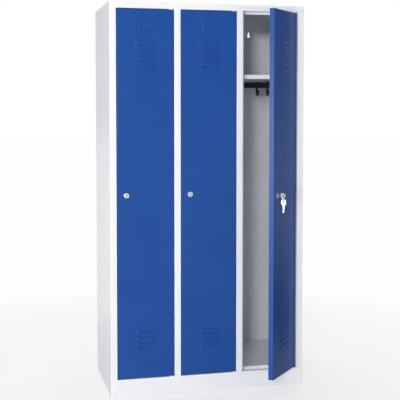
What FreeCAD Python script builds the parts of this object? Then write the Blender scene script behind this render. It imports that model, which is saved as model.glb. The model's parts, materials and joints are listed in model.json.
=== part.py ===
"""Three-compartment steel locker cabinet, its third door standing open.

Frame: millimetres, +Z up, +Y from the doors towards the back, +X to the right when facing the doors.
Origin: the centre of the cabinet's footprint, at floor level.
"""

import FreeCAD, Part
import math
import os
from FreeCAD import Vector

# Driving dimensions of the carcass
WIDTH = 920.0
DEPTH = 500.0
HEIGHT = 1800.0
COMPARTMENTS = 3
SHEET = 0.8  # thickness of every folded sheet
BEND = 1.0  # inside radius of every fold
STILE = 30.0  # width of each upright seen from the front
TOP_RAIL = 30.0
PLINTH = 80.0
REBATE = 29.0  # from the front to the stop lips of the uprights
SIDE_LIP = 12.0
TOP_LIP = 12.0
FLOOR_HEIGHT = 94.0  # top of the compartment floor
FLANGE = 18.0  # folded edges that close the carcass at the back and at the floor

# Shelf and clothes rail
SHELF_TOP = 1478.0
SHELF_LIP = 20.0
SHELF_SETBACK = 35.0
SHELF_FOLD = 12.0
RAIL_HEIGHT = 1436.0
RAIL_WIDE = 15.0
RAIL_HIGH = 30.0
RAIL_WALL = 1.2
SOCKET_PLATE = 2.0
SOCKET_DEPTH = 8.0
SOCKET_WALL = 2.5
SOCKET_PLAY = 0.2

# Coat hooks
HOOK_THICK = 8.0
HOOK_WALL = 3.0
HOOK_PLAY = 0.3
HOOK_BAR = 7.0
HOOK_BEND = 11.0  # centre-line radius of the hook's bend
HOOK_DROP = 37.5  # from the rail's centre line to the centre of the bend
HOOK_TIP = 7.5  # rise of the tip above the bend's centre
HOOK_BALL = 6.5
HOOKS_FROM_WALL = (78.0, 158.0, 212.0)  # places along each rail

# Doors
GAP = 3.0  # all round each door
DOOR_THICK = 24.0
DOOR_LIP = 12.0
HINGE_INSET = 12.0  # hinge axis from the door's hinge edge
HINGE_DEPTH = 6.0  # hinge axis behind the door's front face
OPEN_DOOR = 3
OPEN_ANGLE = 48.3
LOUVRE_WIDTH = 95.0
LOUVRE_HIGH = 12.0
LOUVRE_PROUD = 3.8
LOUVRE_NOSE = 5.0  # from the open lower edge up to the line that stands proudest
LOUVRE_END = 9.0  # length of the sloped ends
LOUVRE_PITCH = 25.1
UPPER_LOUVRES = 6
UPPER_LOUVRE_LOW = 1490.5
LOWER_LOUVRES = 4
LOWER_LOUVRE_LOW = 210.5
LABEL_WIDE = 58.0
LABEL_HIGH = 54.0
LABEL_RIDGE = 5.6
LABEL_PROUD = 1.8
LABEL_ROUND = 1.6
LABEL_CENTRE = 1693.0
STIFFENER_FROM_HINGE = 45.0
STIFFENER_WEB = 20.0
STIFFENER_FLANGE = 10.0
STIFFENER_DEEP = 15.0
STIFFENER_END_GAP = 22.0
BUFFER_RADIUS = 3.8
BUFFER_HIGH = 4.4
BUFFER_ROUND = 1.0
BUFFER_FROM_END = 70.0

# Hinges
PIN_RADIUS = 2.5
PIN_REACH = 9.0  # of the pin into the door
PIN_HEAD_RADIUS = 4.5
PIN_HEAD = 1.5
PIN_CHAMFER = 0.5
BUSH_RADIUS = 3.6
BUSH_LONG = 6.0
BUSH_COLLAR_RADIUS = 4.2
BUSH_COLLAR = 1.0
LUG_WIDE = 16.0
LUG_FRONT = 5.5  # from the hinge axis to the lug's front
LUG_BACK = 6.5
LUG_HIGH = 2.6
FIT = 0.05  # radial running clearance

# Locks and keys
LOCK_FROM_EDGE = 42.0
LOCK_HEIGHT = 925.0
ROSETTE_RADIUS = 12.4
ROSETTE_PROUD = 2.5
ROSETTE_ROUND = 1.4
BARREL_RADIUS = 9.0
BARREL_LONG = 30.0
NUT_ACROSS_FLATS = 26.0
NUT_HIGH = 4.0
PLUG_RADIUS = 6.5
PLUG_RECESS = 0.5
KEYWAY_WIDE = 2.4
KEYWAY_HIGH = 8.0
KEYWAY_DEEP = 25.0
CAM_SETBACK = 31.4  # front of the cam behind the door's front face
CAM_THICK = 2.0
CAM_WIDE = 14.0
CAM_REACH = 47.0
CAM_HEAD_RADIUS = 9.0
CAM_CORNER = 3.0
CAM_HOLE = 3.5
SCREW_HEAD_RADIUS = 5.0
SCREW_HEAD = 3.0
SCREW_ROUND = 1.2
SCREW_SLOT_LONG = 8.0
SCREW_SLOT_WIDE = 1.0
SCREW_SLOT_DEEP = 1.2
SCREW_RADIUS = 2.0
SCREW_LONG = 6.0
KEY_LONG = 60.0
KEY_THICK = 2.2
BLADE_HALF = 3.8
BLADE_LONG = 33.0
BOW_HALF = 12.0
BOW_END_HALF = 9.5
BOW_WIDEST = 41.0  # from the key's tip
KEY_HOLE = 3.8
KEY_HOLE_FROM_END = 8.0
KEY_OUT = 38.5  # outer end of the key in the lock, from the door's face
KEY_POINT = 1.8  # chamfer at the tip
BOW_ROUND = 5.0
SHOULDER_ROUND = 6.0
GROOVE_START = 2.0
GROOVE_END_GAP = 4.0
GROOVE_LOW = 0.6
GROOVE_WIDE = 1.2
GROOVE_DEEP = 0.6
BITTING = (1.2, 2.0, 0.8, 1.6, 1.0)  # depths of the cuts from the tip on
FIRST_CUT = 3.5
CUT_SPACING = 3.6
CUT_FLAT = 1.2
RING_RADIUS = 10.8  # centre line
RING_WIRE = 0.6
RING_TURN_OFFSET = 0.5
RING_DROP = 2.2  # from a key hole's centre to the ring's wire

# Keyholes in the back
KEYHOLE_FROM_SIDE = 122.5
KEYHOLE_HEIGHT = 1697.0
KEYHOLE_RADIUS = 6.75
KEYHOLE_SLOT = 6.5
KEYHOLE_TOP = 1718.0

# Places worked out from the driving dimensions
CORNER = BEND + SHEET  # outside radius of every fold
FRONT = -DEPTH / 2
BACK = DEPTH / 2
SIDE = WIDTH / 2
PITCH = (WIDTH - STILE) / COMPARTMENTS
OPENING = PITCH - STILE
RAIL_UNDER = HEIGHT - TOP_RAIL
STOP_Y = FRONT + REBATE
CROSS_STOP_Y = STOP_Y + SHEET  # stop lips of the rails lie behind those of the uprights
INNER_STOP_Y = CROSS_STOP_Y + SHEET
BACK_PANEL_Y = BACK - 2 * SHEET  # inner face of the back panel
DOOR_LEFT = -SIDE + STILE + GAP  # the first door, closed
DOOR_RIGHT = DOOR_LEFT + OPENING - 2 * GAP
DOOR_BOTTOM = PLINTH + GAP
DOOR_TOP = RAIL_UNDER - GAP
DOOR_CENTRE = (DOOR_LEFT + DOOR_RIGHT) / 2
HINGE_X = DOOR_RIGHT - HINGE_INSET
HINGE_Y = FRONT + HINGE_DEPTH
LOCK_X = DOOR_LEFT + LOCK_FROM_EDGE
KEY_HOLE_Y = FRONT - KEY_OUT + KEY_HOLE_FROM_END

X_AXIS = Vector(1, 0, 0)
Y_AXIS = Vector(0, 1, 0)
Z_AXIS = Vector(0, 0, 1)


def box(x0, x1, y0, y1, z0, z1):
    return Part.makeBox(x1 - x0, y1 - y0, z1 - z0, Vector(x0, y0, z0))


def rod(radius, start, direction, length):
    return Part.makeCylinder(radius, length, start, direction)


def group(solids):
    return Part.makeCompound(solids)


def in_pieces(panel, regions):
    """A folded panel as plain solids that meet face to face: one in each region, and the rest."""
    solids = [solid for region in regions for solid in panel.common(region).Solids]
    return group(solids + panel.cut(regions).Solids)


def edges_at(shape, axis, level):
    """The edges of a shape whose centres lie at a level along the axis x, y or z."""
    return [edge for edge in shape.Edges if abs(getattr(edge.CenterOfMass, axis) - level) < 0.01]


def solid_from(edges, sweep):
    """Extrudes a closed chain of edges."""
    wire = Part.Wire(Part.__sortEdges__(edges))
    return Part.Face(wire).extrude(sweep)


def in_plan(start):
    return lambda a, b: Vector(a, b, start)


def in_side_view(start):
    return lambda a, b: Vector(start, a, b)


def in_front_view(start):
    return lambda a, b: Vector(a, start, b)


def folded_sheet(path, place, sweep):
    """A folded sheet whose visible face follows the path, with the metal on the path's left."""
    points = [Vector(a, b, 0) for a, b in path]
    runs = [(q - p).normalize() for p, q in zip(points, points[1:])]
    lefts = [Vector(-run.y, run.x, 0) for run in runs]
    near = []  # faces as lists of (start, end) or (start, middle, end)
    far = []
    start = points[0]
    for corner, before, after, left, next_left in zip(points[1:-1], runs, runs[1:], lefts, lefts[1:]):
        turn = math.atan2(before.cross(after).z, before.dot(after))
        near_radius = CORNER if turn > 0 else BEND
        far_radius = BEND if turn > 0 else CORNER
        reach = near_radius * math.tan(abs(turn) / 2)
        bend_start = corner - before * reach
        bend_end = corner + after * reach
        centre = bend_start + left * (near_radius if turn > 0 else -near_radius)
        outward = (corner - centre).normalize()
        near.append((start, bend_start))
        near.append((bend_start, centre + outward * near_radius, bend_end))
        far.append((start + left * SHEET, bend_start + left * SHEET))
        far.append((bend_start + left * SHEET, centre + outward * far_radius, bend_end + next_left * SHEET))
        start = bend_end
    near.append((start, points[-1]))
    far.append((start + lefts[-1] * SHEET, points[-1] + lefts[-1] * SHEET))
    ends = [(points[0], points[0] + lefts[0] * SHEET), (points[-1], points[-1] + lefts[-1] * SHEET)]
    edges = []
    for piece in near + far + ends:
        placed = [place(p.x, p.y) for p in piece]
        curve = Part.LineSegment(*placed) if len(placed) == 2 else Part.Arc(*placed)
        edges.append(curve.toShape())
    return solid_from(edges, sweep)


def oval_bar(x, y, z, length, wide, high):
    """A bar along X with flat sides and round top and bottom."""
    r = wide / 2
    h = high / 2 - r
    low_front, low_back = Vector(x, y - r, z - h), Vector(x, y + r, z - h)
    high_front, high_back = Vector(x, y - r, z + h), Vector(x, y + r, z + h)
    edges = [
        Part.LineSegment(low_front, high_front).toShape(),
        Part.Arc(high_front, Vector(x, y, z + h + r), high_back).toShape(),
        Part.LineSegment(high_back, low_back).toShape(),
        Part.Arc(low_back, Vector(x, y, z - h - r), low_front).toShape(),
    ]
    return solid_from(edges, X_AXIS * length)


def upright_centre(number):
    """X of an upright's centre line: 0 is the left side, COMPARTMENTS the right side."""
    return -SIDE + STILE / 2 + number * PITCH


def walls(number):
    """X of the left and right inner faces of a compartment."""
    left = -SIDE + SHEET if number == 1 else upright_centre(number - 1) + SHEET / 2
    right = SIDE - SHEET if number == COMPARTMENTS else upright_centre(number) - SHEET / 2
    return left, right


# Carcass


def flush_corner(x, low, high):
    """Weld metal, ground flush, that fills the round of an upright's edge beside a rail."""
    return box(x, x + CORNER, FRONT, FRONT + CORNER, low, high)


def left_side_panel():
    path = [
        (-SIDE + FLANGE, BACK),
        (-SIDE, BACK),
        (-SIDE, FRONT),
        (-SIDE + STILE, FRONT),
        (-SIDE + STILE, STOP_Y),
        (-SIDE + STILE + SIDE_LIP, STOP_Y),
    ]
    panel = folded_sheet(path, in_plan(0), Z_AXIS * HEIGHT)
    for low, high in ((0, PLINTH + BEND), (RAIL_UNDER - BEND, HEIGHT)):
        notch = box(-SIDE + STILE, 0, FRONT + SHEET, INNER_STOP_Y, low, high)
        panel = panel.cut(notch)
    inner_edge = -SIDE + STILE
    roof_seat = box(inner_edge - CORNER, inner_edge, FRONT + SHEET, INNER_STOP_Y, HEIGHT - SHEET, HEIGHT)
    panel = panel.cut(roof_seat)
    for low, high in ((0, PLINTH), (RAIL_UNDER, HEIGHT)):
        panel = panel.fuse(flush_corner(inner_edge - CORNER, low, high).cut(roof_seat))
    fold = 2 * CORNER
    start, end = FRONT + FLANGE + STILE, BACK - FLANGE - 2 * SHEET
    panel = panel.cut(box(-SIDE, -SIDE + SHEET, start, end, 0, fold))
    foot_path = [(-SIDE, fold), (-SIDE, 0), (-SIDE + FLANGE, 0)]
    foot = folded_sheet(foot_path, in_front_view(start), Y_AXIS * (end - start))
    panel = panel.fuse(foot).removeSplitter()
    stop_back, bend_end, wall_end = STOP_Y + SHEET, inner_edge + BEND, BACK - CORNER
    stile_region = box(-SIDE, bend_end, FRONT, stop_back, 0, HEIGHT)
    lip_region = box(bend_end, inner_edge + SIDE_LIP, FRONT, stop_back, 0, HEIGHT)
    rear_region = box(-SIDE, -SIDE + FLANGE, wall_end, BACK, 0, HEIGHT)
    foot_region = box(-SIDE, -SIDE + FLANGE, stop_back, wall_end, 0, fold)
    return in_pieces(panel, [stile_region, lip_region, rear_region, foot_region])


def right_side_panel():
    return left_side_panel().mirror(Vector(0, 0, 0), X_AXIS)


def keyhole(x):
    """The cutter of one keyhole: a round entry with a narrow slot above it."""
    y = BACK_PANEL_Y - SHEET
    entry = rod(KEYHOLE_RADIUS, Vector(x, y, KEYHOLE_HEIGHT), Y_AXIS, 3 * SHEET)
    end_z = KEYHOLE_TOP - KEYHOLE_SLOT / 2
    half = KEYHOLE_SLOT / 2
    slot = box(x - half, x + half, y, y + 3 * SHEET, KEYHOLE_HEIGHT, end_z)
    end = rod(half, Vector(x, y, end_z), Y_AXIS, 3 * SHEET)
    return entry.fuse([slot, end])


def back_panel():
    outside = BACK_PANEL_Y + SHEET
    path = [(outside - FLANGE, 0), (outside, 0), (outside, HEIGHT)]
    half = SIDE - CORNER
    panel = folded_sheet(path, in_side_view(-half), X_AXIS * 2 * half)
    for x in (-SIDE + KEYHOLE_FROM_SIDE, SIDE - KEYHOLE_FROM_SIDE):
        panel = panel.cut(keyhole(x))
    return in_pieces(panel, [box(-half, half, outside - FLANGE, outside, 0, CORNER)])


def flush_bar(number, low):
    """Weld metal, ground flush, that fills the round of a rail's edge where a middle stile meets it."""
    x = upright_centre(number)
    half = STILE / 2 - CORNER
    return box(x - half, x + half, FRONT, FRONT + CORNER, low, low + CORNER)


def hinge_points():
    """X of every hinge axis."""
    return [HINGE_X + number * PITCH for number in range(COMPARTMENTS)]


def roof_panel():
    half = SIDE - STILE
    path = [
        (BACK_PANEL_Y, HEIGHT - FLANGE),
        (BACK_PANEL_Y, HEIGHT),
        (FRONT, HEIGHT),
        (FRONT, RAIL_UNDER),
        (CROSS_STOP_Y, RAIL_UNDER),
        (CROSS_STOP_Y, RAIL_UNDER - TOP_LIP),
    ]
    roof = folded_sheet(path, in_side_view(-half), X_AXIS * 2 * half)
    deep = BACK_PANEL_Y - CORNER - FRONT - SHEET
    edge = [(-SIDE + SHEET, HEIGHT - FLANGE), (-SIDE + SHEET, HEIGHT), (-half, HEIGHT)]
    wing = folded_sheet(edge[::-1], in_front_view(FRONT + SHEET), Y_AXIS * deep)
    under = box(-SIDE, -half, FRONT, INNER_STOP_Y, HEIGHT - FLANGE, HEIGHT - SHEET)
    corner = box(-SIDE, -SIDE + CORNER, FRONT, FRONT + CORNER, HEIGHT - SHEET, HEIGHT)
    wing = wing.cut([under, corner])
    welds = [flush_bar(number, RAIL_UNDER) for number in range(1, COMPARTMENTS)]
    roof = roof.fuse([wing, wing.mirror(Vector(0, 0, 0), X_AXIS)] + welds).removeSplitter()
    for x in hinge_points():
        roof = roof.cut(rod(PIN_RADIUS + FIT, Vector(x, HINGE_Y, RAIL_UNDER - 1), Z_AXIS, 3))
    rail_end, lip_top, plate_end = CROSS_STOP_Y + SHEET, RAIL_UNDER - BEND, BACK_PANEL_Y - CORNER
    plate_half = SIDE - SHEET - CORNER
    rail_region = box(-half, half, FRONT, rail_end, lip_top, HEIGHT)
    lip_region = box(-half, half, FRONT, rail_end, RAIL_UNDER - TOP_LIP, lip_top)
    rear_region = box(-half, half, plate_end, BACK_PANEL_Y, HEIGHT - FLANGE, HEIGHT)
    left_region = box(-SIDE, -plate_half, FRONT, plate_end, HEIGHT - FLANGE, HEIGHT)
    right_region = left_region.mirror(Vector(0, 0, 0), X_AXIS)
    return in_pieces(roof, [rail_region, lip_region, rear_region, left_region, right_region])


def plinth_front():
    half = SIDE - STILE
    path = [
        (CROSS_STOP_Y + FLANGE, FLOOR_HEIGHT - SHEET),
        (CROSS_STOP_Y, FLOOR_HEIGHT - SHEET),
        (CROSS_STOP_Y, PLINTH),
        (FRONT, PLINTH),
        (FRONT, 0),
        (FRONT + FLANGE, 0),
    ]
    plinth = folded_sheet(path, in_side_view(-half), X_AXIS * 2 * half)
    welds = [flush_bar(number, PLINTH - CORNER) for number in range(1, COMPARTMENTS)]
    plinth = plinth.fuse(welds).removeSplitter()
    for x in hinge_points():
        plinth = plinth.cut(rod(PIN_RADIUS + FIT, Vector(x, HINGE_Y, PLINTH - 2), Z_AXIS, 3))
    return in_pieces(plinth, [box(-half, half, FRONT, CROSS_STOP_Y + SHEET, 0, PLINTH + BEND)])


def base_panel():
    half = SIDE - SHEET
    path = [(BACK_PANEL_Y, FLOOR_HEIGHT - FLANGE), (BACK_PANEL_Y, FLOOR_HEIGHT), (CROSS_STOP_Y, FLOOR_HEIGHT)]
    panel = folded_sheet(path, in_side_view(-half + FLANGE), X_AXIS * 2 * (half - FLANGE))
    edge = [(-half + FLANGE, FLOOR_HEIGHT), (-half, FLOOR_HEIGHT), (-half, FLOOR_HEIGHT - FLANGE)]
    deep = BACK_PANEL_Y - CORNER - CROSS_STOP_Y
    wing = folded_sheet(edge, in_front_view(CROSS_STOP_Y), Y_AXIS * deep)
    panel = panel.fuse([wing, wing.mirror(Vector(0, 0, 0), X_AXIS)]).removeSplitter()
    low, plate_end = FLOOR_HEIGHT - FLANGE, BACK_PANEL_Y - CORNER
    rear_region = box(-half, half, plate_end, BACK_PANEL_Y, low, FLOOR_HEIGHT)
    left_region = box(-half, -half + CORNER, CROSS_STOP_Y, plate_end, low, FLOOR_HEIGHT)
    right_region = left_region.mirror(Vector(0, 0, 0), X_AXIS)
    return in_pieces(panel, [rear_region, left_region, right_region])


def mid_stile(number):
    x = upright_centre(number)
    half = STILE / 2
    path = [
        (x - half - SIDE_LIP, STOP_Y),
        (x - half, STOP_Y),
        (x - half, FRONT),
        (x + half, FRONT),
        (x + half, STOP_Y),
        (x + half + SIDE_LIP, STOP_Y),
    ]
    stile = folded_sheet(path, in_plan(PLINTH), Z_AXIS * (RAIL_UNDER - PLINTH))
    for low, high in ((PLINTH, PLINTH + BEND), (RAIL_UNDER - BEND, RAIL_UNDER)):
        for start in (x - half - SIDE_LIP, x + half):
            notch = box(start, start + SIDE_LIP, FRONT + SHEET, CROSS_STOP_Y, low, high)
            stile = stile.cut(notch)
    bend_end = half + BEND
    return in_pieces(stile, [box(x - bend_end, x + bend_end, FRONT, STOP_Y + SHEET, PLINTH, RAIL_UNDER)])


def partition(number):
    """The front fold is spot-welded behind the right stop lip of the middle stile."""
    x = upright_centre(number) - SHEET / 2
    front_fold = STILE / 2 + SIDE_LIP + SHEET / 2
    path = [
        (x + front_fold, CROSS_STOP_Y),
        (x, CROSS_STOP_Y),
        (x, BACK_PANEL_Y),
        (x + FLANGE, BACK_PANEL_Y),
    ]
    above_lip = RAIL_UNDER - TOP_LIP
    sheet = folded_sheet(path[::-1], in_plan(FLOOR_HEIGHT), Z_AXIS * (above_lip - FLOOR_HEIGHT))
    top = folded_sheet(
        [(x + FLANGE, BACK_PANEL_Y), (x, BACK_PANEL_Y), (x, INNER_STOP_Y)],
        in_plan(above_lip),
        Z_AXIS * (HEIGHT - FLANGE - above_lip),
    )
    crest = box(x, x + SHEET, INNER_STOP_Y, BACK_PANEL_Y - FLANGE, HEIGHT - FLANGE, HEIGHT - SHEET)
    sheet = sheet.fuse([top, crest]).removeSplitter()
    fold_end, bend_end = x + front_fold, x + CORNER
    bend_region = box(x, bend_end, CROSS_STOP_Y, CROSS_STOP_Y + CORNER, FLOOR_HEIGHT, above_lip)
    fold_region = box(bend_end, fold_end, CROSS_STOP_Y, CROSS_STOP_Y + CORNER, FLOOR_HEIGHT, above_lip)
    rear_region = box(x, x + FLANGE, BACK_PANEL_Y - CORNER, BACK_PANEL_Y, FLOOR_HEIGHT, HEIGHT)
    return in_pieces(sheet, [bend_region, fold_region, rear_region])


def hat_shelf(number):
    left, right = walls(number)
    front = FRONT + SHELF_SETBACK
    back = BACK_PANEL_Y - SHEET
    low = SHELF_TOP - SHELF_LIP
    fold = SHELF_FOLD
    nose_path = [(front + fold, SHELF_TOP), (front, SHELF_TOP), (front, low), (front + fold, low)]
    nose = folded_sheet(nose_path, in_side_view(left), X_AXIS * (right - left))
    plate_path = [(right, low), (right, SHELF_TOP), (left, SHELF_TOP), (left, low)]
    plate = folded_sheet(plate_path, in_front_view(front + fold), Y_AXIS * (back - front - 2 * fold))
    heel_path = [(back, low), (back, SHELF_TOP), (back - fold, SHELF_TOP)]
    heel = folded_sheet(heel_path, in_side_view(left + fold), X_AXIS * (right - left - 2 * fold))
    shelf = nose.fuse([plate, heel]).removeSplitter()
    nose_region = box(left, right, front, front + fold, low, SHELF_TOP)
    heel_region = box(left + CORNER, right - CORNER, back - CORNER, back, low, SHELF_TOP)
    left_region = box(left, left + CORNER, front + fold, back, low, SHELF_TOP)
    right_region = box(right - CORNER, right, front + fold, back, low, SHELF_TOP)
    return in_pieces(shelf, [nose_region, heel_region, left_region, right_region])


def clothes_rail(number):
    left, right = walls(number)
    start = left + SOCKET_PLATE + SOCKET_PLAY
    length = right - left - 2 * (SOCKET_PLATE + SOCKET_PLAY)
    outer = oval_bar(start, 0, RAIL_HEIGHT, length, RAIL_WIDE, RAIL_HIGH)
    bore = oval_bar(start, 0, RAIL_HEIGHT, length, RAIL_WIDE - 2 * RAIL_WALL, RAIL_HIGH - 2 * RAIL_WALL)
    return outer.cut(bore)


def rail_socket(wall, inward):
    """One oval cup for a rail's end; inward is +1 on a left wall and -1 on a right wall."""
    plate_x = wall if inward > 0 else wall - SOCKET_PLATE
    collar_x = wall if inward > 0 else wall - SOCKET_DEPTH
    grow = 2 * SOCKET_WALL
    plate = oval_bar(plate_x, 0, RAIL_HEIGHT, SOCKET_PLATE, RAIL_WIDE + 2 * grow, RAIL_HIGH + 2 * grow)
    collar = oval_bar(collar_x, 0, RAIL_HEIGHT, SOCKET_DEPTH, RAIL_WIDE + grow, RAIL_HIGH + grow)
    pocket_x = wall + SOCKET_PLATE if inward > 0 else wall - SOCKET_DEPTH - 1
    play = 2 * SOCKET_PLAY
    pocket_long = SOCKET_DEPTH - SOCKET_PLATE + 1
    pocket = oval_bar(pocket_x, 0, RAIL_HEIGHT, pocket_long, RAIL_WIDE + play, RAIL_HIGH + play)
    return plate.fuse(collar).cut(pocket)


def rail_sockets():
    sockets = []
    for number in range(1, COMPARTMENTS + 1):
        left, right = walls(number)
        sockets.append(rail_socket(left, 1))
        sockets.append(rail_socket(right, -1))
    return group(sockets)


def coat_hook(x):
    """A hook with a loop round the rail; it slides along X."""
    start = x - HOOK_THICK / 2
    z = RAIL_HEIGHT
    inside = 2 * HOOK_PLAY
    outside = 2 * (HOOK_PLAY + HOOK_WALL)
    loop = oval_bar(start, 0, z, HOOK_THICK, RAIL_WIDE + outside, RAIL_HIGH + outside)
    eye = oval_bar(start - 1, 0, z, HOOK_THICK + 2, RAIL_WIDE + inside, RAIL_HIGH + inside)
    bend_z = z - HOOK_DROP
    half = HOOK_BAR / 2
    stem_top = z - RAIL_HIGH / 2 - HOOK_WALL
    stem = box(start, start + HOOK_THICK, -half, half, bend_z, stem_top)
    centre = Vector(start, -HOOK_BEND, bend_z)
    bend = rod(HOOK_BEND + half, centre, X_AXIS, HOOK_THICK)
    bend = bend.cut(rod(HOOK_BEND - half, centre, X_AXIS, HOOK_THICK))
    above = box(start, start + HOOK_THICK, -3 * HOOK_BEND, HOOK_BEND, bend_z, bend_z + 2 * HOOK_BEND)
    bend = bend.cut(above)
    tip_y = -2 * HOOK_BEND
    tip = box(start, start + HOOK_THICK, tip_y - half, tip_y + half, bend_z, bend_z + HOOK_TIP)
    ball = Part.makeSphere(HOOK_BALL, Vector(x, tip_y, bend_z + HOOK_TIP))
    return loop.fuse([stem, bend, tip, ball]).cut(eye).removeSplitter()


def hinge_lugs():
    lugs = []
    for x in hinge_points():
        for low in (RAIL_UNDER - LUG_HIGH, PLINTH):
            sides = (x - LUG_WIDE / 2, x + LUG_WIDE / 2, HINGE_Y - LUG_FRONT, HINGE_Y + LUG_BACK)
            lug = box(*sides, low, low + LUG_HIGH)
            lugs.append(lug.cut(rod(PIN_RADIUS + FIT, Vector(x, HINGE_Y, low - 1), Z_AXIS, LUG_HIGH + 2)))
    return group(lugs)


def hinge_pins():
    pins = []
    reach = GAP + PIN_REACH
    for x in hinge_points():
        for level, way in ((RAIL_UNDER + SHEET, -1), (PLINTH - SHEET, 1)):
            seat = Vector(x, HINGE_Y, level)
            shaft = rod(PIN_RADIUS, seat, Z_AXIS * way, SHEET + reach)
            shaft = shaft.makeChamfer(PIN_CHAMFER, edges_at(shaft, "z", level + way * (SHEET + reach)))
            head = rod(PIN_HEAD_RADIUS, seat, Z_AXIS * -way, PIN_HEAD)
            pins.append(shaft.fuse(head))
    return group(pins)


# Doors, each modelled as the first one, closed, and then put in its place


def on_door(shape, number):
    placed = shape.copy()
    placed.translate(X_AXIS * PITCH * (number - 1))
    if number == OPEN_DOOR:
        axis = Vector(HINGE_X + PITCH * (number - 1), HINGE_Y, 0)
        placed.rotate(axis, Z_AXIS, OPEN_ANGLE)
    return placed


def louvre_form(z_low, inset):
    """The bulge of one louvre, open at its lower edge; inset by the sheet's thickness gives its hollow."""
    rise = LOUVRE_HIGH - LOUVRE_NOSE
    radius = (LOUVRE_PROUD**2 + rise**2) / (2 * LOUVRE_PROUD)
    depth = radius - LOUVRE_PROUD  # of the arc's centre behind the door's face
    end_radius = (LOUVRE_PROUD**2 + LOUVRE_END**2) / (2 * LOUVRE_PROUD)
    end_depth = end_radius - LOUVRE_PROUD
    r = radius - inset
    low_angle, top_angle = -math.asin(LOUVRE_NOSE / r), math.acos(depth / r)

    def on_arc(x, angle):
        z = z_low + LOUVRE_NOSE + r * math.sin(angle)
        return Vector(x, FRONT + depth - r * math.cos(angle), z)

    def profile(x):
        corner, lip, top = Vector(x, FRONT, z_low), on_arc(x, low_angle), on_arc(x, top_angle)
        edges = [
            Part.LineSegment(corner, lip).toShape(),
            Part.Arc(lip, on_arc(x, (low_angle + top_angle) / 2), top).toShape(),
            Part.LineSegment(top, corner).toShape(),
        ]
        return Part.Face(Part.Wire(edges))

    half = LOUVRE_WIDTH / 2 - LOUVRE_END
    left, right = DOOR_CENTRE - half, DOOR_CENTRE + half
    turn = math.degrees(math.acos(end_depth / end_radius))
    in_front = box(DOOR_LEFT, DOOR_RIGHT, FRONT - 2 * LOUVRE_PROUD, FRONT, z_low - 1, z_low + LOUVRE_HIGH + 1)
    ends = []
    for x, way in ((left, -turn), (right, turn)):
        end = profile(x).revolve(Vector(x, FRONT + end_depth, 0), Z_AXIS, way)
        ends.append(end.common(in_front))
    middle_part = profile(left).extrude(X_AXIS * 2 * half)
    return middle_part.fuse(ends), left, right, on_arc(left, top_angle).z


def louvre_levels():
    upper = [UPPER_LOUVRE_LOW + n * LOUVRE_PITCH for n in range(UPPER_LOUVRES)]
    lower = [LOWER_LOUVRE_LOW + n * LOUVRE_PITCH for n in range(LOWER_LOUVRES)]
    return upper + lower


def label_frame(outer_wide, outer_high, ridge, y0, y1):
    """A rectangular ring on the door's face."""
    x, z = DOOR_CENTRE, LABEL_CENTRE
    w, h = outer_wide / 2, outer_high / 2
    ring = box(x - w, x + w, y0, y1, z - h, z + h)
    hole = box(x - w + ridge, x + w - ridge, y0 - 1, y1 + 1, z - h + ridge, z + h - ridge)
    return ring.cut(hole)


def embossed_label():
    """The raised ridge of the label frame and the groove behind it."""
    ridge = label_frame(LABEL_WIDE, LABEL_HIGH, LABEL_RIDGE, FRONT - LABEL_PROUD, FRONT)
    ridge = ridge.makeFillet(LABEL_ROUND, edges_at(ridge, "y", FRONT - LABEL_PROUD))
    wide, high = LABEL_WIDE - 2 * SHEET, LABEL_HIGH - 2 * SHEET
    groove = label_frame(wide, high, LABEL_RIDGE - 2 * SHEET, FRONT - LABEL_PROUD + SHEET, FRONT + 2 * SHEET)
    return ridge, groove


def rounded_box(x0, x1, y0, y1, z0, z1, radius):
    block = box(x0, x1, y0, y1, z0, z1)
    return block.makeFillet(radius, block.Edges)


def door_skin():
    pan = rounded_box(DOOR_LEFT, DOOR_RIGHT, FRONT, FRONT + DOOR_THICK, DOOR_BOTTOM, DOOR_TOP, CORNER)
    hollow = rounded_box(
        DOOR_LEFT + SHEET,
        DOOR_RIGHT - SHEET,
        FRONT + SHEET,
        FRONT + DOOR_THICK - SHEET,
        DOOR_BOTTOM + SHEET,
        DOOR_TOP - SHEET,
        BEND,
    )
    window = box(
        DOOR_LEFT + DOOR_LIP,
        DOOR_RIGHT - DOOR_LIP,
        FRONT + DOOR_THICK / 2,
        FRONT + DOOR_THICK + 1,
        DOOR_BOTTOM + DOOR_LIP,
        DOOR_TOP - DOOR_LIP,
    )
    forms = []
    cuts = []
    for z_low in louvre_levels():
        bulge = louvre_form(z_low, 0)[0]
        inside, left, right, top = louvre_form(z_low, SHEET)
        slot = box(left, right, FRONT, FRONT + 2 * SHEET, z_low, top)
        forms.append(bulge)
        cuts.append(inside)
        cuts.append(slot)
    ridge, groove = embossed_label()
    forms.append(ridge)
    cuts.append(groove)
    lock_hole = rod(BARREL_RADIUS + 2 * FIT, Vector(LOCK_X, FRONT - 1, LOCK_HEIGHT), Y_AXIS, 4)
    bush_holes = []
    for level in (DOOR_BOTTOM, DOOR_TOP):
        bush_holes.append(rod(BUSH_RADIUS + FIT, Vector(HINGE_X, HINGE_Y, level - 2), Z_AXIS, 4))
    skin = pan.cut([hollow, window]).fuse(forms)
    skin = skin.cut(cuts + [lock_hole] + bush_holes).removeSplitter()
    face_back, rear = FRONT + CORNER, FRONT + DOOR_THICK
    face_region = box(DOOR_LEFT, DOOR_RIGHT, FRONT - LOUVRE_PROUD, face_back, DOOR_BOTTOM, DOOR_TOP)
    low_region = box(DOOR_LEFT, DOOR_RIGHT, face_back, rear, DOOR_BOTTOM, DOOR_BOTTOM + DOOR_LIP)
    high_region = box(DOOR_LEFT, DOOR_RIGHT, face_back, rear, DOOR_TOP - DOOR_LIP, DOOR_TOP)
    return in_pieces(skin, [face_region, low_region, high_region])


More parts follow.
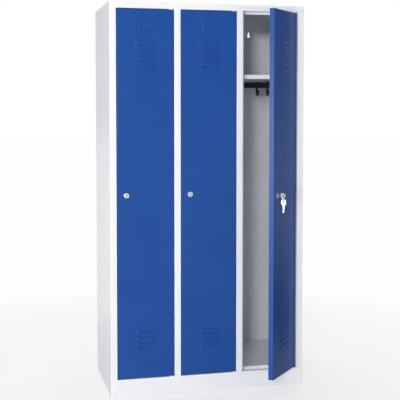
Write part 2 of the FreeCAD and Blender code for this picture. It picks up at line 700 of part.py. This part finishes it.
def door_stiffener():
    x = DOOR_RIGHT - STIFFENER_FROM_HINGE
    web, flange = STIFFENER_WEB / 2, STIFFENER_FLANGE
    near, far = FRONT + SHEET, FRONT + SHEET + STIFFENER_DEEP
    path = [
        (x - web - flange, near),
        (x - web, near),
        (x - web, far),
        (x + web, far),
        (x + web, near),
        (x + web + flange, near),
    ]
    low = DOOR_BOTTOM + STIFFENER_END_GAP
    return folded_sheet(path, in_plan(low), Z_AXIS * (DOOR_TOP - STIFFENER_END_GAP - low))


def door_bushes():
    bushes = []
    for level, way in ((DOOR_TOP, -1), (DOOR_BOTTOM, 1)):
        seat = Vector(HINGE_X, HINGE_Y, level)
        body = rod(BUSH_RADIUS, seat, Z_AXIS * way, BUSH_LONG)
        collar = rod(BUSH_COLLAR_RADIUS, seat + Z_AXIS * way * SHEET, Z_AXIS * way, BUSH_COLLAR)
        bore = rod(PIN_RADIUS + FIT, seat - Z_AXIS * way, Z_AXIS * way, BUSH_LONG + 2)
        bushes.append(body.fuse(collar).cut(bore))
    return group(bushes)


def door_buffers():
    buffers = []
    x = DOOR_LEFT + DOOR_LIP / 2 - SHEET / 2
    for level in (DOOR_BOTTOM + BUFFER_FROM_END, DOOR_TOP - BUFFER_FROM_END):
        pad = rod(BUFFER_RADIUS, Vector(x, FRONT + DOOR_THICK, level), Y_AXIS, BUFFER_HIGH)
        rim = edges_at(pad, "y", FRONT + DOOR_THICK + BUFFER_HIGH)
        buffers.append(pad.makeFillet(BUFFER_ROUND, rim))
    return group(buffers)


# Lock and keys


def lock_axis(out):
    """A point on the lock's axis, so far out from the door's face."""
    return Vector(LOCK_X, FRONT - out, LOCK_HEIGHT)


def lock_housing():
    rosette = rod(ROSETTE_RADIUS, lock_axis(ROSETTE_PROUD), Y_AXIS, ROSETTE_PROUD)
    rosette = rosette.makeFillet(ROSETTE_ROUND, edges_at(rosette, "y", FRONT - ROSETTE_PROUD))
    barrel = rod(BARREL_RADIUS, lock_axis(0), Y_AXIS, BARREL_LONG)
    bore = rod(PLUG_RADIUS + FIT, lock_axis(ROSETTE_PROUD + 1), Y_AXIS, BARREL_LONG + ROSETTE_PROUD + 2)
    return rosette.fuse(barrel).cut(bore).removeSplitter()


def lock_nut():
    radius = NUT_ACROSS_FLATS / 2 / math.cos(math.pi / 6)
    corners = [
        lock_axis(-SHEET) + Vector(radius * math.cos(n * math.pi / 3), 0, radius * math.sin(n * math.pi / 3))
        for n in range(7)
    ]
    nut = Part.Face(Part.makePolygon(corners)).extrude(Y_AXIS * NUT_HIGH)
    return nut.cut(rod(BARREL_RADIUS + FIT, lock_axis(0), Y_AXIS, NUT_HIGH + 2))


def lock_plug():
    front = ROSETTE_PROUD - PLUG_RECESS
    body = rod(PLUG_RADIUS, lock_axis(front), Y_AXIS, front + BARREL_LONG)
    shank = rod(CAM_HOLE - FIT, lock_axis(-BARREL_LONG), Y_AXIS, CAM_SETBACK + CAM_THICK - BARREL_LONG)
    keyway = box(
        LOCK_X - KEYWAY_WIDE / 2,
        LOCK_X + KEYWAY_WIDE / 2,
        FRONT - front - 1,
        FRONT - front + KEYWAY_DEEP,
        LOCK_HEIGHT - KEYWAY_HIGH / 2,
        LOCK_HEIGHT + KEYWAY_HIGH / 2,
    )
    tapping = rod(SCREW_RADIUS, lock_axis(-CAM_SETBACK - CAM_THICK), -Y_AXIS, SCREW_LONG)
    return body.fuse(shank).cut([keyway, tapping]).removeSplitter()


def lock_cam():
    """The cam hangs down when the lock is open."""
    start = lock_axis(-CAM_SETBACK)
    half = CAM_WIDE / 2
    head = rod(CAM_HEAD_RADIUS, start, Y_AXIS, CAM_THICK)
    y0, y1 = start.y, start.y + CAM_THICK
    blade = box(LOCK_X - half, LOCK_X + half, y0, y1, LOCK_HEIGHT - CAM_REACH, LOCK_HEIGHT)
    tip_edges = edges_at(blade, "z", LOCK_HEIGHT - CAM_REACH)
    corners = [edge for edge in tip_edges if abs(edge.CenterOfMass.x - LOCK_X) > half - 0.01]
    blade = blade.makeFillet(CAM_CORNER, corners)
    hole = rod(CAM_HOLE, start - Y_AXIS, Y_AXIS, CAM_THICK + 2)
    return head.fuse(blade).cut(hole).removeSplitter()


def lock_cam_screw():
    seat = lock_axis(-CAM_SETBACK - CAM_THICK)
    head = rod(SCREW_HEAD_RADIUS, seat, Y_AXIS, SCREW_HEAD)
    head = head.makeFillet(SCREW_ROUND, edges_at(head, "y", seat.y + SCREW_HEAD))
    thread = rod(SCREW_RADIUS, seat, -Y_AXIS, SCREW_LONG)
    half_long, half_wide = SCREW_SLOT_LONG / 2, SCREW_SLOT_WIDE / 2
    floor = seat.y + SCREW_HEAD - SCREW_SLOT_DEEP
    sides = (LOCK_X - half_long, LOCK_X + half_long, floor, floor + 2 * SCREW_SLOT_DEEP)
    slot = box(*sides, LOCK_HEIGHT - half_wide, LOCK_HEIGHT + half_wide)
    return head.fuse(thread).cut(slot)


def cut_through(points, blank):
    """Cuts a key blank along its whole thickness to an outline."""
    outline = [Vector(a, b, -KEY_THICK) for a, b in points]
    cutter = Part.Face(Part.makePolygon(outline + outline[:1])).extrude(Z_AXIS * 2 * KEY_THICK)
    return blank.cut(cutter)


def key_blank():
    """A key lying along +X from its tip at the origin, its width along Y, centred on its thickness."""
    points = [
        (0, -BLADE_HALF + KEY_POINT),
        (KEY_POINT, -BLADE_HALF),
        (BLADE_LONG, -BLADE_HALF),
        (BOW_WIDEST, -BOW_HALF),
        (KEY_LONG, -BOW_END_HALF),
        (KEY_LONG, BOW_END_HALF),
        (BOW_WIDEST, BOW_HALF),
        (BLADE_LONG, BLADE_HALF),
        (KEY_POINT, BLADE_HALF),
        (0, BLADE_HALF - KEY_POINT),
    ]
    outline = [Vector(a, b, -KEY_THICK / 2) for a, b in points]
    blank = Part.Face(Part.makePolygon(outline + outline[:1])).extrude(Z_AXIS * KEY_THICK)
    upright = [edge for edge in blank.Edges if abs(edge.tangentAt(edge.FirstParameter).z) > 0.99]
    bow_corners = [edge for edge in upright if edge.CenterOfMass.x > BLADE_LONG + 1]
    blank = blank.makeFillet(BOW_ROUND, bow_corners)
    upright = [edge for edge in edges_at(blank, "x", BLADE_LONG) if edge.BoundBox.YLength < 0.01]
    blank = blank.makeFillet(SHOULDER_ROUND, upright)
    low = Vector(KEY_LONG - KEY_HOLE_FROM_END, 0, -KEY_THICK)
    blank = blank.cut(rod(KEY_HOLE, low, Z_AXIS, 2 * KEY_THICK))
    top = KEY_THICK / 2
    groove_sides = (GROOVE_START, BLADE_LONG - GROOVE_END_GAP, GROOVE_LOW, GROOVE_LOW + GROOVE_WIDE)
    blank = blank.cut(box(*groove_sides, top - GROOVE_DEEP, top))
    edge = -BLADE_HALF
    for place, depth in enumerate(BITTING):
        x = FIRST_CUT + CUT_SPACING * place
        wide, narrow = depth + CUT_FLAT / 2, CUT_FLAT / 2
        points = [(x - wide, edge), (x - narrow, edge + depth), (x + narrow, edge + depth), (x + wide, edge)]
        blank = cut_through(points, blank)
    return blank


def key_in_lock():
    """The bow stands in the upright plane through the lock's axis."""
    key = key_blank()
    key.rotate(Vector(0, 0, 0), Y_AXIS, -90)
    key.rotate(Vector(0, 0, 0), X_AXIS, 90)
    key.translate(lock_axis(KEY_OUT - KEY_LONG))
    return key


def ring_centre():
    return Vector(LOCK_X, KEY_HOLE_Y, LOCK_HEIGHT - RING_DROP - RING_RADIUS)


def key_ring():
    """A split ring of two turns, hanging in the bow of the key."""
    turns = [
        Part.makeTorus(RING_RADIUS, RING_WIRE, ring_centre() + Y_AXIS * shift, Y_AXIS)
        for shift in (-RING_TURN_OFFSET, RING_TURN_OFFSET)
    ]
    return turns[0].fuse(turns[1])


def spare_key():
    key = key_blank()
    key.rotate(Vector(0, 0, 0), Y_AXIS, -90)
    hole = Vector(0, 0, KEY_LONG - KEY_HOLE_FROM_END)
    key.translate(ring_centre() - Z_AXIS * (RING_RADIUS + RING_DROP) - hole)
    return key


def export(name, shape):
    solids = len(shape.Solids)
    if not shape.isValid() or shape.Volume <= 0:
        raise ValueError(f"{name} is not a valid solid")
    shape.exportStep(f"parts/{name}.step")
    print(f"{name:18s} solids {solids}  volume {shape.Volume / 1000:10.2f} cm3")


def carcass_parts():
    parts = {
        "left_side_panel": left_side_panel(),
        "right_side_panel": right_side_panel(),
        "back_panel": back_panel(),
        "roof_panel": roof_panel(),
        "base_panel": base_panel(),
        "plinth_front": plinth_front(),
        "rail_sockets": rail_sockets(),
        "hinge_lugs": hinge_lugs(),
        "hinge_pins": hinge_pins(),
    }
    for number in range(1, COMPARTMENTS):
        parts[f"mid_stile_{number}"] = mid_stile(number)
        parts[f"partition_{number}"] = partition(number)
    for number in range(1, COMPARTMENTS + 1):
        parts[f"hat_shelf_{number}"] = hat_shelf(number)
        parts[f"clothes_rail_{number}"] = clothes_rail(number)
        left = walls(number)[0]
        for letter, distance in zip("abc", HOOKS_FROM_WALL):
            parts[f"hook_{number}_{letter}"] = coat_hook(left + distance)
    return parts


def door_parts():
    pattern = {
        "door_{}_skin": door_skin(),
        "door_{}_stiffener": door_stiffener(),
        "door_{}_bushes": door_bushes(),
        "door_{}_buffers": door_buffers(),
        "lock_{}_housing": lock_housing(),
        "lock_{}_nut": lock_nut(),
        "lock_{}_plug": lock_plug(),
        "lock_{}_cam": lock_cam(),
        "lock_{}_cam_screw": lock_cam_screw(),
    }
    parts = {}
    for number in range(1, COMPARTMENTS + 1):
        for name, shape in pattern.items():
            parts[name.format(number)] = on_door(shape, number)
    for name, shape in (("key_in_lock", key_in_lock()), ("key_ring", key_ring()), ("spare_key", spare_key())):
        parts[name] = on_door(shape, OPEN_DOOR)
    return parts


os.makedirs("parts", exist_ok=True)
for part_name, part_shape in {**carcass_parts(), **door_parts()}.items():
    export(part_name, part_shape)
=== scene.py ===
import json
import math

import bpy
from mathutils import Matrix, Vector


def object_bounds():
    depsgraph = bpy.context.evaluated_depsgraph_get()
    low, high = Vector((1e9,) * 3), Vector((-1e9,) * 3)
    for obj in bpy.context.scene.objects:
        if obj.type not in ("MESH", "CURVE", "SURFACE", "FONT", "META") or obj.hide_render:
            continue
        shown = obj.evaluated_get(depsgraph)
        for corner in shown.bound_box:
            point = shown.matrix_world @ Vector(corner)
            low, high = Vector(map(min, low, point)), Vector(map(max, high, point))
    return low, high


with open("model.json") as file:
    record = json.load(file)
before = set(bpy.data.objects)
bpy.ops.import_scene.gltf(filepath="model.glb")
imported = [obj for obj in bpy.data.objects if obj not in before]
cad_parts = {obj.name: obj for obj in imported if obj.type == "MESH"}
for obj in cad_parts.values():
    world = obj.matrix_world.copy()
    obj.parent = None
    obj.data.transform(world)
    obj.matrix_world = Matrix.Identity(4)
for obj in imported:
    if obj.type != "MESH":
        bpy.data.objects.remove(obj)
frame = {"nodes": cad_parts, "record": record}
cad_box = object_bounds()
scene = bpy.context.scene

# The camera stands to the left of the doors, above their middle.
EYE = (-1.018, -4.275, 1.303)
TURN = 13.617  # degrees to the right
TILT = 3.046  # degrees downwards
LENS = 80.97
SENSOR = 36
DROP = -0.1  # the rest of the way down is framed without tilting the camera

# The world's strength, by direction: each turn is the start and end of a ramp.
WORLD_COLOUR = (0.97, 0.98, 1, 1)
WORLD_FRONT = 0.062
WORLD_BACK = 0.40
BACK_TURN = (-0.2, 0.3)
WORLD_RIGHT = 0.5  # of the left's
RIGHT_TURN = (0.1, 0.8)
WORLD_TOP = 0.45  # of the horizon's
TOP_TURN = (0.0, 0.35)

# The floor
FLOOR_HALF = 40
FLOOR_GAP = 0.0005
FLOOR_COLOUR = (0.86, 0.86, 0.865, 1)
FLOOR_ROUGHNESS = 0.6
FLOOR_FAR_COLOUR = (0.98, 0.985, 1, 1)
FLOOR_FADE = (1.3, 2.4)  # radii between which the floor turns white
FLOOR_WHITE = 0.763  # of that white floor, as light on the cabinet
FLOOR_LIFT = 0.62  # the share of white in the floor round the cabinet, to the eye

# The floor as the cabinet's gloss shows it, a painted reflection with painted shadows: each ramp's start
# and end, then its values there
GLOSS_COLOUR = (1, 0.98, 0.97, 1)
# Painted shadow behind the cabinet's left side: dimmer up to 1.2 m behind it, full beyond 1.4 m
GLOSS_BEHIND_PAINTED_SHADOW = (1.2, 1.4, 0.5, 0.95)
GLOSS_BEHIND_SIDE = (-0.3, 0.3, 1.0, 0.0)
GLOSS_FRONT = (-0.8, -0.3, 0.3, 0.0)
GLOSS_RIGHT_SIDE = (0.3, 0.5, 0.0, 1.0)
# Painted shadow to the cabinet's right: dim from 0.7 m out, brighter again far away
GLOSS_RIGHT_PAINTED_SHADOW = (0.7, 1.5, 0.35, 0.03)
GLOSS_RIGHT_FAR = (1.6, 7.0, 0.0, 0.45)

# Name, place, target, size and power of each area light
LIGHTS = (
    ("key", (-5.8, -7.2, 0.6), (0, -0.25, 0.9), (2.6, 0.8), 375),
    ("front", (-3.1, -7.9, 2.7), (0.1, -0.25, 1.0), (1.0, 0.8), 219),
    ("left", (-4.6, -2.5, 0.9), (0.2, -0.4, 1.0), (0.8, 1.3), 18),
    ("right", (3.2, -5.5, 0.8), (0.4, -0.25, 0.6), (1.5, 1.2), 21),
    ("top", (0, 0.3, 5.0), (0, 0.3, 0), (4.0, 4.0), 237),
    ("back", (4.2, 4.4, 2.2), (0, 0, 0.9), (3.0, 2.0), 80),
    ("glint", (-5.6, -0.6, 1.2), (0, -0.25, 1.2), (0.7, 1.4), 280),
    ("edge_glint", (-4.6, -2.5, 1.1), (0.27, -0.42, 1.2), (0.5, 0.5), 12),
)
WITHOUT_GLOSS = ("top", "back")
ONLY_GLOSS = ("glint", "edge_glint")

# Noises: scale, detail and roughness. Depths of relief are in metres.
NOISE_MIDDLE = (0.35, 0.65)  # where most of a noise's values lie
SMOOTHER = 0.04
ROUGHER = 0.05
COAT_CLOUD = (5.0, 4.0, 0.5)
COAT_SPECK = (1400.0, 2.0, 0.5)
COAT_SPECK_SHARE = 0.25
COAT_GLOSS = (22.0, 5.0, 0.6)
ORANGE_PEEL = (420.0, 2.0, 0.5)
ORANGE_PEEL_DEPTH = 0.00004
SHEET_WAVE = (9.0, 1.0, 0.5)
SHEET_WAVE_DEPTH = 0.0006
MOULD_CLOUD = (60.0, 3.0, 0.5)
MOULD_GLOSS = (300.0, 3.0, 0.5)
MOULD_GLOSS_SPREAD = 0.06
MOULD_GRAIN = (3.0, 0.6)  # detail and roughness: each finish has its own scale
MOULD_DEPTH = 0.00008
MOTTLE = (4.0, 0.6)  # likewise
POLISH = (2600.0, 2.0, 0.5)
POLISH_DEPTH = 0.000006
ALL_WAYS = (1, 1, 1)
UPRIGHT = (1, 1, 0.15)
MIX_COLOURS = (6, 7)  # the colour sockets of a mix node
MIX_RESULT = 2

# Colour, shade and roughness, and the specular level where it isn't the usual one
POWDER_COATS = {
    "frame_coat": ((0.80, 0.81, 0.835), (0.765, 0.78, 0.81), 0.34),
    "door_coat": ((0.010, 0.069, 0.300), (0.009, 0.062, 0.28), 0.32, 0.3),
    "rail_black": ((0.014, 0.014, 0.016), (0.02, 0.02, 0.022), 0.42),
}

# Colour, shade, roughness and the scale of the grain
MOULDED = {
    "black_plastic": ((0.012, 0.012, 0.013), (0.02, 0.02, 0.021), 0.5, 1500.0),
    "nylon": ((0.62, 0.61, 0.57), (0.55, 0.54, 0.49), 0.45, 900.0),
    "buffer_rubber": ((0.02, 0.02, 0.02), (0.035, 0.035, 0.035), 0.75, 1100.0),
}

# Colour, shade, roughness, the scale of the mottling and the way that the polishing lines run
PLATED = {
    "nickel": ((0.88, 0.91, 0.97), (0.80, 0.83, 0.89), 0.47, 200.0, ALL_WAYS),
    "key_nickel": ((0.80, 0.81, 0.84), (0.72, 0.73, 0.76), 0.32, 200.0, UPRIGHT),
    # A darker copy of the key's nickel for the key in the lock: painted shade
    "worn_nickel": ((0.30, 0.29, 0.30), (0.18, 0.17, 0.18), 0.30, 420.0, UPRIGHT),
    "zinc": ((0.60, 0.61, 0.63), (0.47, 0.48, 0.50), 0.38, 90.0, ALL_WAYS),
}


# Camera, floor and light


def add(name, data):
    thing = bpy.data.objects.new(name, data)
    scene.collection.objects.link(thing)
    return thing


def make_camera():
    data = bpy.data.cameras.new("camera")
    data.lens = LENS
    data.sensor_width = SENSOR
    data.shift_y = DROP
    camera = add("camera", data)
    camera.location = EYE
    camera.rotation_euler = (math.radians(90 - TILT), 0, math.radians(-TURN))
    scene.camera = camera


def area_light(name, place, target, size, power):
    data = bpy.data.lights.new(name, "AREA")
    data.shape = "RECTANGLE"
    data.size, data.size_y = size
    data.energy = power
    light = add(name, data)
    light.location = place
    light.rotation_euler = (Vector(target) - Vector(place)).to_track_quat("-Z", "Y").to_euler()
    light.visible_diffuse = name not in ONLY_GLOSS
    light.visible_glossy = name not in WITHOUT_GLOSS


def ramp(tree, source, start, end, low, high, kind="SMOOTHSTEP"):
    """The source's values from start to end, spread from low to high."""
    made = tree.nodes.new("ShaderNodeMapRange")
    made.interpolation_type = kind
    for socket, value in (("From Min", start), ("From Max", end), ("To Min", low), ("To Max", high)):
        made.inputs[socket].default_value = value
    tree.links.new(source, made.inputs["Value"])
    return made.outputs[0]


def maths(tree, operation, first, second):
    """A sum, product or maximum of two nodes' outputs."""
    made = tree.nodes.new("ShaderNodeMath")
    made.operation = operation
    for socket, value in zip(made.inputs, (first, second)):
        tree.links.new(value, socket)
    return made.outputs[0]


def mixed(tree, factor, first, second):
    """The first shader where the factor is 0, and the second where it is 1."""
    made = tree.nodes.new("ShaderNodeMixShader")
    for socket, source in zip(made.inputs, (factor, first, second)):
        tree.links.new(source, socket)
    return made.outputs[0]


def glow(tree, kind, colour):
    """A background or emission of that colour."""
    made = tree.nodes.new(kind)
    made.inputs["Color"].default_value = colour
    return made


def make_world():
    """A studio that is white to the eye; its light comes mostly from behind, the left and low down."""
    world = bpy.data.worlds.new("studio")
    scene.world = world
    world.use_nodes = True
    tree = world.node_tree
    tree.nodes.clear()
    where = tree.nodes.new("ShaderNodeTexCoord")
    split = tree.nodes.new("ShaderNodeSeparateXYZ")
    tree.links.new(where.outputs["Generated"], split.inputs[0])
    back = ramp(tree, split.outputs["Y"], *BACK_TURN, WORLD_FRONT, WORLD_BACK)
    right = ramp(tree, split.outputs["X"], *RIGHT_TURN, 1.0, WORLD_RIGHT)
    fade = ramp(tree, split.outputs["Z"], *TOP_TURN, 1.0, WORLD_TOP)
    strength = maths(tree, "MULTIPLY", maths(tree, "MULTIPLY", back, right), fade)
    lighting = glow(tree, "ShaderNodeBackground", WORLD_COLOUR)
    tree.links.new(strength, lighting.inputs["Strength"])
    plain = glow(tree, "ShaderNodeBackground", (1, 1, 1, 1))
    path = tree.nodes.new("ShaderNodeLightPath")
    out = tree.nodes.new("ShaderNodeOutputWorld")
    shown = mixed(tree, path.outputs["Is Camera Ray"], lighting.outputs[0], plain.outputs[0])
    tree.links.new(shown, out.inputs[0])


def painted_floor_reflection(tree, where):
    """The floor's emission where the cabinet mirrors it: a painted reflection, with painted shadows
    behind the cabinet and to its right.
    """
    split = tree.nodes.new("ShaderNodeSeparateXYZ")
    tree.links.new(where, split.inputs[0])
    x, y = split.outputs["X"], split.outputs["Y"]
    behind = maths(tree, "MULTIPLY", ramp(tree, y, *GLOSS_BEHIND_PAINTED_SHADOW), ramp(tree, x, *GLOSS_BEHIND_SIDE))
    front = ramp(tree, y, *GLOSS_FRONT)
    beside = maths(tree, "ADD", ramp(tree, x, *GLOSS_RIGHT_PAINTED_SHADOW), ramp(tree, x, *GLOSS_RIGHT_FAR))
    right = maths(tree, "MULTIPLY", ramp(tree, x, *GLOSS_RIGHT_SIDE), beside)
    total = maths(tree, "MAXIMUM", maths(tree, "MAXIMUM", behind, front), right)
    gloss = glow(tree, "ShaderNodeEmission", GLOSS_COLOUR)
    tree.links.new(total, gloss.inputs["Strength"])
    return gloss.outputs[0]


def floor_finish():
    """A pale floor that fades into the white studio."""
    material = bpy.data.materials.new("studio_floor")
    material.use_nodes = True
    tree = material.node_tree
    shader = tree.nodes["Principled BSDF"]
    shader.inputs["Base Color"].default_value = FLOOR_COLOUR
    shader.inputs["Roughness"].default_value = FLOOR_ROUGHNESS
    where = tree.nodes.new("ShaderNodeTexCoord").outputs["Object"]
    length = tree.nodes.new("ShaderNodeVectorMath")
    length.operation = "LENGTH"
    tree.links.new(where, length.inputs[0])
    path = tree.nodes.new("ShaderNodeLightPath")
    eye = path.outputs["Is Camera Ray"]
    white = glow(tree, "ShaderNodeEmission", FLOOR_FAR_COLOUR)
    tree.links.new(ramp(tree, eye, 0.0, 1.0, FLOOR_WHITE, 1.0), white.inputs["Strength"])
    far = ramp(tree, length.outputs["Value"], *FLOOR_FADE, 0.0, 1.0)
    lit = mixed(tree, far, shader.outputs[0], white.outputs[0])
    seen = mixed(tree, ramp(tree, eye, 0.0, 1.0, 0.0, FLOOR_LIFT), lit, white.outputs[0])
    # Glossy rays see the painted reflection with its painted shadows
    shown = mixed(tree, path.outputs["Is Glossy Ray"], seen, painted_floor_reflection(tree, where))
    tree.links.new(shown, tree.nodes["Material Output"].inputs["Surface"])
    return material


def make_floor():
    mesh = bpy.data.meshes.new("floor")
    signs = ((-1, -1), (1, -1), (1, 1), (-1, 1))
    mesh.from_pydata([(x * FLOOR_HALF, y * FLOOR_HALF, 0) for x, y in signs], [], [(0, 1, 2, 3)])
    mesh.materials.append(floor_finish())
    floor = add("floor", mesh)
    floor.location.z = cad_box[0].z - FLOOR_GAP


# Materials


class Finish:
    """One procedural material, built up node by node on the object's own coordinates."""

    def __init__(self, name, roughness, metallic=0.0, specular=0.5):
        self.material = bpy.data.materials.new(name)
        self.material.use_nodes = True
        self.tree = self.material.node_tree
        self.shader = self.tree.nodes["Principled BSDF"]
        self.shader.inputs["Metallic"].default_value = metallic
        self.shader.inputs["Roughness"].default_value = roughness
        self.shader.inputs["Specular IOR Level"].default_value = specular
        self.where = self.tree.nodes.new("ShaderNodeTexCoord").outputs["Object"]

    def node(self, kind, links, **values):
        made = self.tree.nodes.new(kind)
        for socket, value in values.items():
            made.inputs[socket].default_value = value
        for socket, source in links.items():
            self.tree.links.new(source, made.inputs[socket])
        return made

    def noise(self, scale, detail, rough, stretch=None):
        place = self.where
        if stretch:
            mapping = self.node("ShaderNodeMapping", {"Vector": place}, Scale=stretch)
            place = mapping.outputs[0]
        values = {"Scale": scale, "Detail": detail, "Roughness": rough}
        return self.node("ShaderNodeTexNoise", {"Vector": place}, **values).outputs["Fac"]

    def spread(self, source, low, high):
        """A noise's usual values, spread evenly from low to high."""
        return ramp(self.tree, source, *NOISE_MIDDLE, low, high, "LINEAR")

    def mix(self, factor, first, second):
        """A colour between two colours, each either a tuple or another node's output."""
        made = self.tree.nodes.new("ShaderNodeMix")
        made.data_type = "RGBA"
        self.tree.links.new(factor, made.inputs["Factor"])
        for socket, value in zip(MIX_COLOURS, (first, second)):
            if isinstance(value, tuple):
                made.inputs[socket].default_value = (*value, 1)
            else:
                self.tree.links.new(value, made.inputs[socket])
        return made.outputs[MIX_RESULT]

    def colour(self, source):
        self.tree.links.new(source, self.shader.inputs["Base Color"])

    def roughness(self, source):
        self.tree.links.new(source, self.shader.inputs["Roughness"])

    def bump(self, source, depth):
        """Adds a relief of that depth, in metres, on top of any made before."""
        made = self.node("ShaderNodeBump", {"Height": source}, Strength=1.0, Distance=depth)
        normal = self.shader.inputs["Normal"]
        if normal.links:
            self.tree.links.new(normal.links[0].from_socket, made.inputs["Normal"])
        self.tree.links.new(made.outputs[0], normal)


def powder_coat(name, colour, shade, roughness, specular=0.5):
    """Baked powder coat: faint orange peel, faint cloudiness and a slightly uneven gloss."""
    finish = Finish(name, roughness, specular=specular)
    cloud = finish.spread(finish.noise(*COAT_CLOUD), 0.0, 1.0)
    speck = finish.spread(finish.noise(*COAT_SPECK), 0.0, COAT_SPECK_SHARE)
    finish.colour(finish.mix(speck, finish.mix(cloud, colour, shade), shade))
    gloss = finish.noise(*COAT_GLOSS)
    finish.roughness(finish.spread(gloss, roughness - SMOOTHER, roughness + ROUGHER))
    finish.bump(finish.noise(*ORANGE_PEEL), ORANGE_PEEL_DEPTH)
    finish.bump(finish.noise(*SHEET_WAVE), SHEET_WAVE_DEPTH)
    return finish.material


def moulded(name, colour, shade, roughness, grain):
    """Moulded plastic or rubber with a fine grain."""
    finish = Finish(name, roughness)
    cloud = finish.spread(finish.noise(*MOULD_CLOUD), 0.0, 1.0)
    finish.colour(finish.mix(cloud, colour, shade))
    gloss = finish.noise(*MOULD_GLOSS)
    finish.roughness(finish.spread(gloss, roughness - MOULD_GLOSS_SPREAD, roughness + MOULD_GLOSS_SPREAD))
    finish.bump(finish.noise(grain, *MOULD_GRAIN), MOULD_DEPTH)
    return finish.material


def plated(name, colour, shade, roughness, mottle, stretch):
    """Plated metal with faint mottling and fine polishing lines."""
    finish = Finish(name, roughness, metallic=1.0)
    cloud = finish.spread(finish.noise(mottle, *MOTTLE), 0.0, 1.0)
    finish.colour(finish.mix(cloud, colour, shade))
    lines = finish.noise(*POLISH, stretch)
    finish.roughness(finish.spread(lines, roughness - SMOOTHER, roughness + ROUGHER))
    finish.bump(lines, POLISH_DEPTH)
    return finish.material


def make_finishes():
    kinds = ((powder_coat, POWDER_COATS), (moulded, MOULDED), (plated, PLATED))
    return {name: make(name, *values) for make, table in kinds for name, values in table.items()}


def dress(finishes):
    """Each node takes the finish of its material slot; the key in the lock takes a darker copy of the
    key's nickel, painted shade.
    """
    slots = {part["node"]: part["material_slot"] for part in frame["record"]["subparts"]}
    slots["key_in_lock"] = "worn_nickel"
    for name, node in frame["nodes"].items():
        for place in node.material_slots:
            place.material = finishes[slots[name]]


make_camera()
make_world()
make_floor()
for light in LIGHTS:
    area_light(*light)
scene.view_settings.view_transform = "Standard"
dress(make_finishes())
